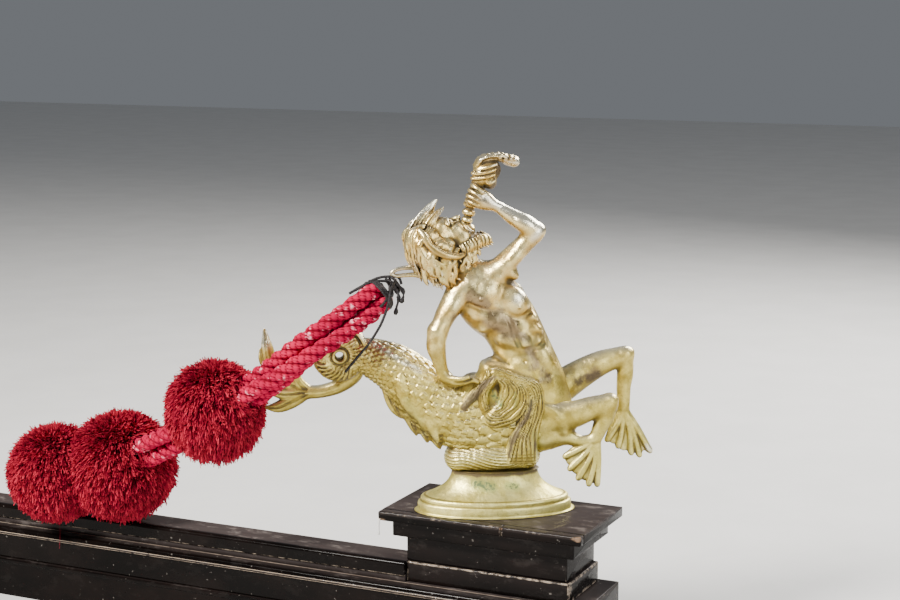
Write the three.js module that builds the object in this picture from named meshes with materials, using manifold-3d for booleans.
// Side armrest of a gondola: a black lacquered moulding with a stepped block at its fore end, a cast
// brass merman on an oval foot that stands on the block, and a bundle of three red ropes with three
// pompoms that hangs from the merman's back hair and lies on the moulding.
// Millimetres, +Z up. +X runs along the boat towards the bow, -Y is the outboard side.
// The origin is at the underside of the armrest, below the middle of the brass foot.
import * as THREE from "three";
import { mergeVertices } from "three/addons/utils/BufferGeometryUtils.js";
import Module from "manifold-3d";

const wasm = await Module();
wasm.setup();

// Driving dimensions
const SEAT_GAP = 0.3; // clearance between pieces that touch
const TURN = THREE.MathUtils.degToRad(30); // how far the brass is turned on its block

// Wood: heights of the joints, from the underside up
const SILL_TOP = 32;
const BOARD_TOP = 58.5;
const RAIL_TOP = 74;
const NECK_TOP = 94;
const CORNICE_TOP = 106.5;
const SLAB_TOP = 114;
// Wood: plan sizes
const AFT_END = -500;
const FORE_END = 88;
const SILL_FRONT = -44;
const BOARD_FRONT = -42;
const BOARD_BACK = 36;
const END_STEP = 2; // how far the sill stands back from the board, and the board from its end
const RAIL_FRONT = -34;
const RAIL_BACK = -5;
const SLAB = { centreX: 5, length: 160, depth: 88 };
const CORNICE_INSET = 8;
const NECK_INSET = 16;
const PLINTH_INSET = 13.5;
const PLINTH_AFT_INSET = 17;
const EDGE_STRIP = 7; // width of the strip glued along the slab's outboard edge
const STRIP_JOINT_X = 24; // where the two lengths of that strip meet

// Brass foot: [radius along its long axis, height above the slab]
const FOOT_DEPTH_SHARE = 0.52;
const FOOT_PROFILE = [
  [57, 0], [57, 7], [55, 8.2], [54.5, 10.4], [51, 11.6], [46, 14], [39, 18],
  [33, 22.5], [30, 26.5], [30.5, 30],
];
const MOUND_BASE = 30;

// Rope and pompoms
const ROPE_RADIUS = 6.25;
const BUNDLE_RADIUS = 7.6; // from the middle of the bundle to the middle of each rope
const STRING_RADIUS = 1;
const ROPE_STEPS = 24;
const ROPE_SIDES = 10;
const STRING_SIDES = 8;
const FIRST_ANGLE = 20; // where the first rope lies at the hook, in degrees from the top
const BUNDLE_TWIST = -110; // how far the bundle turns from the hook to its end, in degrees
const ROPE_POINTS = 23; // points on the curve of each rope

const BRASS = new THREE.MeshStandardMaterial({ color: 0xcdb86a, metalness: 1, roughness: 0.38 });
const LACQUER = new THREE.MeshStandardMaterial({ color: 0x17120f, metalness: 0, roughness: 0.25 });
const RED_ROPE = new THREE.MeshStandardMaterial({ color: 0xb5153a, metalness: 0, roughness: 0.9 });
const RED_YARN = new THREE.MeshStandardMaterial({ color: 0xa31f2e, metalness: 0, roughness: 1 });
const BLACK_STRING = new THREE.MeshStandardMaterial({ color: 0x1a1718, metalness: 0, roughness: 0.8 });

const object = new THREE.Group();
const figure = new THREE.Group();
figure.position.z = SLAB_TOP;
figure.rotation.z = TURN;
object.add(figure);

// Solids

function solidOf(geometry) {
  const bare = new THREE.BufferGeometry();
  bare.setAttribute("position", geometry.getAttribute("position"));
  if (geometry.index) bare.setIndex(geometry.index);
  const merged = mergeVertices(bare, 1e-4);
  return new wasm.Manifold(
    new wasm.Mesh({
      numProp: 3,
      vertProperties: new Float32Array(merged.attributes.position.array),
      triVerts: new Uint32Array(merged.index.array),
    }),
  );
}

// The triangles of a solid, with edges too short to matter drawn together.
const FINEST = 0.05;
function geometryOf(solid) {
  const mesh = solid.simplify(FINEST).getMesh();
  const geometry = new THREE.BufferGeometry();
  geometry.setAttribute("position", new THREE.BufferAttribute(mesh.vertProperties, 3));
  geometry.setIndex(new THREE.BufferAttribute(mesh.triVerts, 1));
  geometry.computeVertexNormals();
  return geometry;
}

function joined(solids) {
  return solids.reduce((sum, next) => sum.add(next));
}

// The solid less its neighbours, without the chips that such a cut can leave.
function cut(solid, ...neighbours) {
  const left = neighbours.reduce((rest, next) => rest.subtract(next), solid);
  return left.decompose().sort((a, b) => b.volume() - a.volume())[0];
}

function add(group, name, geometry, material) {
  const mesh = new THREE.Mesh(geometry, material);
  mesh.name = name;
  group.add(mesh);
}

function box(x0, x1, y0, y1, z0, z1) {
  const geometry = new THREE.BoxGeometry(x1 - x0, y1 - y0, z1 - z0);
  return geometry.translate((x0 + x1) / 2, (y0 + y1) / 2, (z0 + z1) / 2);
}

// A limb: a sphere drawn out along a curve. Each station is [x, y, z, half width in the plane of the
// figure, half depth along Y]. The ends are rounded beyond the first and last station. grow swells it.
const CAP_RINGS = 2;
function limb(stations, { sides = 10, steps = 2, grow = 0 } = {}) {
  const curve = new THREE.CatmullRomCurve3(
    stations.map(([x, y, z]) => new THREE.Vector3(x, y, z)), false, "centripetal",
  );
  const spans = stations.length - 1;
  const bodyRings = spans * steps;
  const rings = bodyRings + 2 * CAP_RINGS;
  const sphere = new THREE.SphereGeometry(1, sides, rings);
  const place = sphere.getAttribute("position");
  const across = new THREE.Vector3(0, 1, 0);
  for (let ring = 0; ring <= rings; ring++) {
    const body = THREE.MathUtils.clamp(ring - CAP_RINGS, 0, bodyRings);
    const at = body / steps;
    const low = Math.min(Math.floor(at), spans - 1);
    const part = at - low;
    const halves = [3, 4].map(
      (k) => THREE.MathUtils.lerp(stations[low][k], stations[low + 1][k], part) + grow,
    );
    const centre = curve.getPoint(body / bodyRings);
    const tangent = curve.getTangent(body / bodyRings);
    const depth = across.clone().addScaledVector(tangent, -across.dot(tangent)).normalize();
    const width = depth.clone().cross(tangent);
    const toEnd = Math.min(ring, rings - ring) / CAP_RINGS;
    const turn = (Math.min(toEnd, 1) * Math.PI) / 2;
    const side = ring < rings / 2 ? -1 : 1;
    centre.addScaledVector(tangent, side * Math.min(...halves) * Math.cos(turn));
    for (let k = 0; k <= sides; k++) {
      const angle = (k % sides) / sides * 2 * Math.PI;
      const point = centre.clone();
      point.addScaledVector(width, halves[0] * Math.sin(turn) * Math.cos(angle));
      point.addScaledVector(depth, halves[1] * Math.sin(turn) * Math.sin(angle));
      place.setXYZ(ring * (sides + 1) + k, point.x, point.y, point.z);
    }
  }
  const made = solidOf(sphere);
  if (made.volume() > 0) return made;
  const index = sphere.index.array;
  for (let i = 0; i < index.length; i += 3) [index[i], index[i + 1]] = [index[i + 1], index[i]];
  return solidOf(sphere);
}

// Several limbs as one solid, plain or swelled by the seat gap.
function body(rows, options = {}) {
  const make = (grow) => joined(rows.map((row) => limb(row, { ...options, grow })));
  return { plain: make(0), swelled: make(SEAT_GAP) };
}

function addCut(name, part, ...neighbours) {
  add(figure, name, geometryOf(cut(part.plain, ...neighbours.map((n) => n.swelled))), BRASS);
}

// Wood

// A moulding: its section in Y and Z, drawn out along X.
function moulding(section, x0, x1) {
  const geometry = new THREE.ExtrudeGeometry(section, {
    depth: x1 - x0, bevelEnabled: false, curveSegments: 6,
  });
  geometry.rotateY(Math.PI / 2);
  geometry.rotateX(Math.PI / 2);
  return geometry.translate(x0, 0, 0);
}

// The sill's face is plain up to a small bead at its top.
function sillSection() {
  const bead = { radius: 2, proud: 1 };
  const shape = new THREE.Shape();
  shape.moveTo(BOARD_BACK - END_STEP, 0);
  shape.lineTo(SILL_FRONT, 0);
  shape.lineTo(SILL_FRONT, SILL_TOP - 2 * bead.radius);
  shape.absarc(
    SILL_FRONT + bead.radius - bead.proud, SILL_TOP - bead.radius, bead.radius,
    Math.PI * 1.25, Math.PI * 0.75, true,
  );
  shape.lineTo(SILL_FRONT + bead.proud, SILL_TOP);
  shape.lineTo(BOARD_BACK - END_STEP, SILL_TOP);
  shape.closePath();
  return shape;
}

// The board above it overhangs in a narrow lip, and its nosing rises from the lip to the top.
function boardSection() {
  const lip = { height: 2, proud: 1.5 };
  const nose = { width: 8, height: 4.5, proud: 1 };
  const noseFoot = BOARD_TOP - nose.height;
  const shape = new THREE.Shape();
  shape.moveTo(BOARD_BACK, SILL_TOP + SEAT_GAP);
  shape.lineTo(BOARD_FRONT, SILL_TOP + SEAT_GAP);
  shape.lineTo(BOARD_FRONT, noseFoot - lip.height);
  shape.lineTo(BOARD_FRONT - lip.proud, noseFoot - lip.height);
  shape.lineTo(BOARD_FRONT - lip.proud, noseFoot);
  shape.absellipse(
    BOARD_FRONT - nose.proud + nose.width, noseFoot, nose.width, nose.height, Math.PI, Math.PI / 2, true, 0,
  );
  shape.lineTo(BOARD_BACK, BOARD_TOP);
  shape.closePath();
  return shape;
}

// The rail on top has a bead along its front, over a cove.
function railSection() {
  const bead = 5;
  const cove = { depth: 1.5, height: 4 };
  const foot = BOARD_TOP + SEAT_GAP;
  const shape = new THREE.Shape();
  shape.moveTo(RAIL_BACK, foot);
  shape.lineTo(RAIL_FRONT + cove.depth, foot);
  shape.lineTo(RAIL_FRONT + cove.depth, foot + cove.height);
  shape.absarc(RAIL_FRONT + bead, RAIL_TOP - bead, bead, Math.PI, Math.PI / 2, true);
  shape.lineTo(RAIL_BACK, RAIL_TOP);
  shape.closePath();
  return shape;
}

const slabAft = SLAB.centreX - SLAB.length / 2;
const slabFore = slabAft + SLAB.length;

// One step of the block, set in from the slab's outline.
function blockStep(inset, z0, z1, aftInset = inset) {
  const halfDepth = SLAB.depth / 2 - inset;
  return box(slabAft + aftInset, slabFore - inset, -halfDepth, halfDepth, z0 + SEAT_GAP, z1);
}

const blockAft = slabAft + PLINTH_AFT_INSET;
add(object, "sill_board", moulding(sillSection(), AFT_END, FORE_END), LACQUER);
add(object, "nosed_board", moulding(boardSection(), AFT_END, FORE_END - END_STEP), LACQUER);
add(object, "arm_rail", moulding(railSection(), AFT_END, blockAft - SEAT_GAP), LACQUER);
const plinth = blockStep(PLINTH_INSET, BOARD_TOP, RAIL_TOP, PLINTH_AFT_INSET);
add(object, "block_plinth", plinth, LACQUER);
add(object, "block_neck", blockStep(NECK_INSET, RAIL_TOP, NECK_TOP), LACQUER);
add(object, "block_cornice", blockStep(CORNICE_INSET, NECK_TOP, CORNICE_TOP), LACQUER);

function slabStrip(name, x0, x1, y0, y1) {
  add(object, name, box(x0, x1, y0, y1, CORNICE_TOP + SEAT_GAP, SLAB_TOP), LACQUER);
}
const stripBack = -SLAB.depth / 2 + EDGE_STRIP;
slabStrip("block_slab", slabAft, slabFore, stripBack + SEAT_GAP, SLAB.depth / 2);
slabStrip("slab_strip_aft", slabAft, STRIP_JOINT_X - SEAT_GAP, -SLAB.depth / 2, stripBack);
slabStrip("slab_strip_fore", STRIP_JOINT_X, slabFore, -SLAB.depth / 2, stripBack);

// Brass, in the figure's own plane: X along the fish body with the legs at +X, Z up from the slab

function foot() {
  const outline = FOOT_PROFILE.map(([radius, height]) => new THREE.Vector2(radius, height));
  const closed = [new THREE.Vector2(0, 0), ...outline, new THREE.Vector2(0, MOUND_BASE)];
  const geometry = new THREE.LatheGeometry(closed, 32);
  geometry.rotateX(Math.PI / 2);
  geometry.scale(1, FOOT_DEPTH_SHARE, 1);
  return geometry.translate(0, 0, SEAT_GAP);
}
add(figure, "oval_foot", foot(), BRASS);

// Columns of every station below: x, y, z, half width in the plane, half depth.
const fish = body([
  [[48, 0, 66, 13, 12], [20, 0, 66, 27, 19], [-10, 0, 68, 28, 20], [-34, 0, 75, 24, 18],
   [-56, 2, 91, 21.5, 16], [-73, 4, 106, 18, 14], [-88, 7, 112, 15, 12]],
], { sides: 16 });
// The tail rolls up into a disc with only a small eye left open in its middle.
const COIL = { centre: [-114, 7, 117], radius: 11, thickness: 8.6 };
function coilSolid(grow) {
  const ring = new THREE.TorusGeometry(COIL.radius, COIL.thickness + grow, 10, 20);
  return solidOf(ring.rotateX(Math.PI / 2).translate(...COIL.centre));
}
const coil = { plain: coilSolid(0), swelled: coilSolid(SEAT_GAP) };
const stem = body([
  [[-101, 17, 112, 6, 6], [-104, 19, 100, 6.5, 6], [-115, 20, 91, 5.8, 5.5],
   [-127, 20, 87, 5.2, 5], [-138, 20, 86, 5.6, 4.5]],
]);
const tailFin = body([
  [[-140, 20, 86, 5.5, 4], [-152, 20, 82, 5.5, 3.5], [-166, 19, 78, 2.5, 2]],
  [[-144, 20, 85, 4.5, 3.5], [-158, 19, 87, 5, 3.5], [-169, 19, 90, 2.5, 2]],
  [[-142, 20, 88, 5, 4], [-156, 22, 95, 5.5, 4], [-167, 23, 110, 5.5, 3.5], [-169, 23, 125, 4.5, 3],
   [-169, 23, 135, 2, 1.8]],
  [[-140, 20, 88, 4.5, 4], [-145, 19, 96, 4.2, 3], [-145, 19, 106, 2, 1.8]],
], { sides: 8 });
const bellyFin = body([
  [[-76, 0, 94, 7, 3], [-66, 0, 76, 8, 3], [-52, 0, 61, 7, 3], [-40, 0, 54, 4, 2.5]],
  [[-68, 0, 78, 4, 2.5], [-70, 0, 73, 1.5, 1.5]],
  [[-58, 0, 64, 4, 2.5], [-58, 0, 58, 1.5, 1.5]],
], { sides: 8 });
const mound = body([
  [[-26, 0, 38, 12, 15], [-4, 0, 41, 14, 20], [20, 0, 40, 11, 16]],
], { sides: 16 });
const belowMound = solidOf(box(-90, 90, -60, 60, -20, MOUND_BASE + 2 * SEAT_GAP));
mound.plain = mound.plain.subtract(belowMound);
mound.swelled = mound.swelled.subtract(belowMound);
const torso = body([
  [[36, 0, 86, 19, 17], [30, 0, 98, 22, 17.5], [20, 0, 119, 22.5, 16], [8, 0, 142, 22.5, 16.5],
   [-5, 0, 156, 25, 18], [-13, 0, 167, 22, 15], [-21, 0, 178, 10, 9.5], [-26, 0, 187, 9, 9]],
], { sides: 16 });
const head = body([
  [[-45, 0, 204, 13, 13], [-33, 0, 205, 14, 13], [-22, 0, 206, 8, 9]],
], { sides: 16 });
const beard = body([
  [[-28, 0, 197, 7, 10], [-18, 0, 200, 7, 9], [-9, 0, 203, 3.5, 5]],
  [[-27, 0, 203, 5, 10], [-19, 0, 208, 4, 8], [-12, 0, 207, 3, 4]],
]);
const hair = body([
  [[-50, 0, 214, 8, 12], [-58, 0, 203, 8, 14], [-55, 0, 190, 8, 13], [-47, 0, 179, 5, 9]],
  [[-42, 0, 190, 9, 15], [-44, 0, 180, 7, 11], [-42, 0, 172, 4, 6]],
  [[-40, -9, 205, 9, 6], [-49, -9, 196, 9, 6], [-47, -8, 182, 6, 5]],
  [[-40, 9, 205, 9, 6], [-49, 9, 196, 9, 6], [-47, 8, 182, 6, 5]],
  [[-53, 0, 212, 5, 8], [-52, -1, 222, 4.5, 6], [-46, -2, 230, 2, 2]],
  [[-48, 3, 214, 4, 6], [-43, 3, 221, 3, 3], [-39, 3, 225, 1.5, 1.5]],
]);
const hook = body([
  [[-57, -4, 180, 1.9, 1.9], [-68, -4, 181.5, 1.9, 1.9], [-77, -4, 180, 1.9, 1.9],
   [-78, -4, 176, 1.9, 1.9], [-69, -4, 174, 1.9, 1.9], [-56, -4, 173, 1.9, 1.9]],
], { sides: 8 });
const raisedArm = body([
  [[-3, -2, 172, 12, 12], [8, -5, 186, 11, 11], [19, -8, 198, 10.5, 10], [31, -10, 208, 8.5, 8.5]],
  [[31, -10, 208, 8.5, 8.5], [23, -10, 214, 8.5, 8], [13, -8, 219, 7.5, 7], [0, -6, 226, 5.2, 5.6]],
]);
const raisedHand = body([
  [[-4, -6, 228, 5.5, 5.5], [-12, -5, 233, 7.5, 6], [-18, -3, 234, 5, 6]],
]);
const conch = body([
  [[-21.5, 0, 215, 1.6, 1.6], [-20.5, 0, 222, 2.6, 2.6], [-17, 0, 232, 4, 4], [-12, 0, 242, 7, 6.5],
   [-6, 0, 252, 9, 8.5], [1, 0, 257, 6.5, 7], [9, 0, 259, 4, 5], [14, 0, 259, 2, 3]],
], { sides: 14 });
const akimboArm = body([
  [[-26, -5, 163, 12, 12], [-36, -9, 150, 10, 10], [-44, -12, 136, 8.5, 8.5]],
  [[-44, -12, 134, 8.5, 8.5], [-43, -12, 122, 7.5, 7.5], [-38, -11, 108, 5.5, 6]],
]);
const akimboHand = body([
  [[-37, -11, 103, 5, 6], [-27, -12, 98.5, 4.5, 7], [-16, -13, 101, 3, 6]],
]);
const farLeg = body([
  [[50, 9, 92, 12, 10], [66, 12, 104, 10.5, 9], [84, 13, 113, 8.5, 7.5], [98, 13, 118, 7, 6.5]],
  [[99, 13, 116, 6.5, 6.5], [99, 13, 100, 5.5, 5.5], [96, 13, 86, 4.6, 4.6], [95, 13, 76, 5, 5]],
]);
const nearLeg = body([
  [[40, -11, 74, 13, 10], [58, -14, 80, 9.5, 8.5], [74, -15, 84, 7.5, 7.5], [87, -15, 85, 6.5, 6.5]],
  [[87, -15, 84, 6.5, 6.5], [83, -15, 74, 6, 6], [78, -15, 63, 5, 5]],
]);
// A webbed foot: lobes from the ankle to each [x, z] tip.
function webbedFoot(y, ankle, tips) {
  return body(
    tips.map(([x, z]) => [
      [ankle[0], y, ankle[1], 4.5, 4.5],
      [(ankle[0] + x) / 2, y, (ankle[1] + z) / 2, 4, 3.6],
      [x, y, z, 2.6, 2.2],
    ]),
    { sides: 8 },
  );
}
const farFoot = webbedFoot(13, [95, 72], [[85, 50], [92, 46], [100, 43], [107, 40], [117, 42]]);
const nearFoot = webbedFoot(-15, [76, 58], [[54, 40], [60, 27], [69, 20], [76, 19]]);

// Leaves that hang from the waist: [x at the waist, z there, x at the tip, z there].
const LEAVES = [[-4, 108, -20, 80], [4, 106, -6, 62], [12, 103, 10, 42], [20, 99, 22, 40], [28, 95, 34, 48]];
function waistLeaves(side) {
  const out = 21;
  const band = [[-6, side * 12, 108, 5, 6], [10, side * 17, 105, 6, 6], [30, side * 16, 95, 6, 6]];
  const leaves = LEAVES.map(([x0, z0, x1, z1]) => [
    [x0, side * (out - 3), z0, 6, 5],
    [x0 * 0.6 + x1 * 0.4 + 3, side * out, (z0 + z1) / 2, 7, 4.5],
    [x1, side * (out - 3), z1, 4, 4],
  ]);
  return body([band, ...leaves], { sides: 8 });
}
const nearLeaves = waistLeaves(-1);
const farLeaves = waistLeaves(1);

addCut("fish_body", fish);
addCut("tail_coil", coil, fish);
addCut("tail_stem", stem, coil, fish);
addCut("tail_fin", tailFin, stem);
addCut("belly_fin", bellyFin, fish);
addCut("wave_mound", mound, fish);
addCut("torso", torso, fish);
addCut("near_leg", nearLeg, fish, torso);
addCut("far_leg", farLeg, fish, torso);
addCut("near_foot", nearFoot, nearLeg);
addCut("far_foot", farFoot, farLeg);
addCut("near_waist_leaves", nearLeaves, fish, torso, nearLeg, mound);
addCut("far_waist_leaves", farLeaves, fish, torso, farLeg, mound);
addCut("head", head, torso);
addCut("beard", beard, head, torso);
addCut("conch", conch, head, beard);
addCut("raised_arm", raisedArm, torso, conch, head, beard);
addCut("raised_hand", raisedHand, raisedArm, conch);
addCut("akimbo_arm", akimboArm, torso);
addCut("akimbo_hand", akimboHand, akimboArm, fish, torso, nearLeaves);
addCut("hair", hair, head, torso, akimboArm, beard);
addCut("rope_hook", hook, hair);

// Rope and pompoms, in the part's own frame
// The middle line of the bundle, from the hook to the last pompom.
const ROPE_NAMES = ["rope_upper", "rope_front", "rope_lower"];
const ROPE_LINE = [
  [-70, -41, 279], [-83, -60, 264], [-96, -74, 251], [-112, -82, 238], [-131, -85, 223],
  [-150, -84, 210], [-190, -77, 184], [-223, -66, 167], [-254, -53, 151], [-280, -42, 138],
  [-314, -29, 122], [-340, -33, 116], [-362, -39, 112],
].map(([x, y, z]) => new THREE.Vector3(x, y, z));

// Each pompom: [name, x, y, z, radius].
const POMPOMS = [
  ["pompom_upper", -193, -77.5, 183, 38], ["pompom_middle", -314, -28, 117.9, 43.6],
  ["pompom_end", -370, -43, 110.5, 40.5],
];

const middle = new THREE.CatmullRomCurve3(ROPE_LINE, false, "centripetal");

// Directions across the bundle at a share of its length: [up, outboard].
function across(share) {
  const tangent = middle.getTangentAt(share);
  const up = new THREE.Vector3(0, 0, 1).addScaledVector(tangent, -tangent.z).normalize();
  return [up, up.clone().cross(tangent)];
}

function ropeCurve(number) {
  const points = [];
  for (let i = 0; i < ROPE_POINTS; i++) {
    const share = i / (ROPE_POINTS - 1);
    const [up, outboard] = across(share);
    const angle = FIRST_ANGLE + (number * 360) / ROPE_NAMES.length + BUNDLE_TWIST * share;
    const turn = THREE.MathUtils.degToRad(angle);
    const point = middle.getPointAt(share);
    point.addScaledVector(up, BUNDLE_RADIUS * Math.cos(turn));
    points.push(point.addScaledVector(outboard, BUNDLE_RADIUS * Math.sin(turn)));
  }
  return new THREE.CatmullRomCurve3(points, false, "centripetal");
}

function tube(curve, radius, steps, sides) {
  const section = new THREE.Shape();
  for (let k = 0; k < sides; k++) {
    const angle = (k / sides) * 2 * Math.PI;
    section[k ? "lineTo" : "moveTo"](radius * Math.cos(angle), radius * Math.sin(angle));
  }
  section.closePath();
  return new THREE.ExtrudeGeometry(section, { steps, extrudePath: curve, bevelEnabled: false });
}

const swelledRopes = ROPE_NAMES.map((name, number) => {
  const curve = ropeCurve(number);
  add(object, name, tube(curve, ROPE_RADIUS, ROPE_STEPS, ROPE_SIDES), RED_ROPE);
  return solidOf(tube(curve, ROPE_RADIUS + SEAT_GAP, ROPE_STEPS, ROPE_SIDES));
});

// The black string that whips the three ropes together below the hook: a band around the bundle.
const BAND = { wall: 1.8, length: 9, from: 4 };
function whipping(grow) {
  const inner = BUNDLE_RADIUS + ROPE_RADIUS + SEAT_GAP;
  const shape = new THREE.Shape();
  shape.absarc(0, 0, inner + BAND.wall + grow, 0, 2 * Math.PI, false);
  const hole = new THREE.Path();
  hole.absarc(0, 0, inner - grow, 0, 2 * Math.PI, false);
  shape.holes.push(hole);
  const geometry = new THREE.ExtrudeGeometry(shape, {
    depth: BAND.length + 2 * grow, bevelEnabled: false, curveSegments: 10,
  });
  geometry.translate(0, 0, -grow);
  const share = BAND.from / middle.getLength();
  const [up, outboard] = across(share);
  const basis = new THREE.Matrix4().makeBasis(outboard, up, outboard.clone().cross(up));
  basis.setPosition(middle.getPointAt(share));
  return geometry.applyMatrix4(basis);
}
add(object, "lashing_band", whipping(0), BLACK_STRING);

// The knot that ties the band to the hook, and the loose end of the string.
const place = new THREE.Matrix4().makeRotationZ(TURN).setPosition(0, 0, SLAB_TOP);
const hookInPlace = hook.swelled.transform(place.elements);
const knot = body([
  [[-65, -40, 281, 4.5, 4.5], [-64, -42, 288, 4, 4], [-62, -41, 292, 3.5, 3.5]],
  [[-80, -57, 284, 1.5, 1.5], [-72, -50, 290, 1.5, 1.5], [-63, -42, 292, 1.8, 1.8]],
  [[-62, -40, 286, 1.6, 1.6], [-59, -38, 276, 1.6, 1.6], [-60, -38, 264, 1.6, 1.6]],
]);
const bandInPlace = solidOf(whipping(SEAT_GAP));
const knotCut = cut(knot.plain, hookInPlace, bandInPlace, ...swelledRopes);
add(object, "lashing_knot", geometryOf(knotCut), BLACK_STRING);

// The long loose end of the string, which hangs down over the tail's disc.
const LOOSE_END = [
  [-60, -42.5, 288], [-58, -54, 282], [-57.5, -59.5, 272.5], [-62, -62, 258.5], [-71.5, -62, 244],
  [-81, -62, 233], [-90, -64.5, 221.5],
].map(([x, y, z]) => new THREE.Vector3(x, y, z));
const looseCurve = new THREE.CatmullRomCurve3(LOOSE_END, false, "centripetal");
const looseEnd = solidOf(tube(looseCurve, STRING_RADIUS, ROPE_STEPS, STRING_SIDES));
const knotInPlace = joined([knot.swelled, bandInPlace, hookInPlace]);
add(object, "lashing_tail", geometryOf(cut(looseEnd, knotInPlace)), BLACK_STRING);

function ball(x, y, z, radius) {
  const geometry = new THREE.SphereGeometry(radius, 16, 10);
  return solidOf(geometry.rotateX(Math.PI / 2).translate(x, y, z));
}
// The last pompom lies over the beads, so the wool gives way to them.
const rail = solidOf(moulding(railSection(), AFT_END, blockAft));
const board = solidOf(moulding(boardSection(), AFT_END, blockAft));
const seat = [rail, board].flatMap((solid) => [
  solid.translate([0, 0, SEAT_GAP]), solid.translate([0, -SEAT_GAP, 0]),
]);
const swelledBalls = [];
for (const [name, x, y, z, radius] of POMPOMS) {
  const near = swelledBalls.slice();
  const wool = cut(ball(x, y, z, radius), ...swelledRopes, ...near, ...seat);
  add(object, name, geometryOf(wool), RED_YARN);
  swelledBalls.push(ball(x, y, z, radius + SEAT_GAP));
}

export default object;
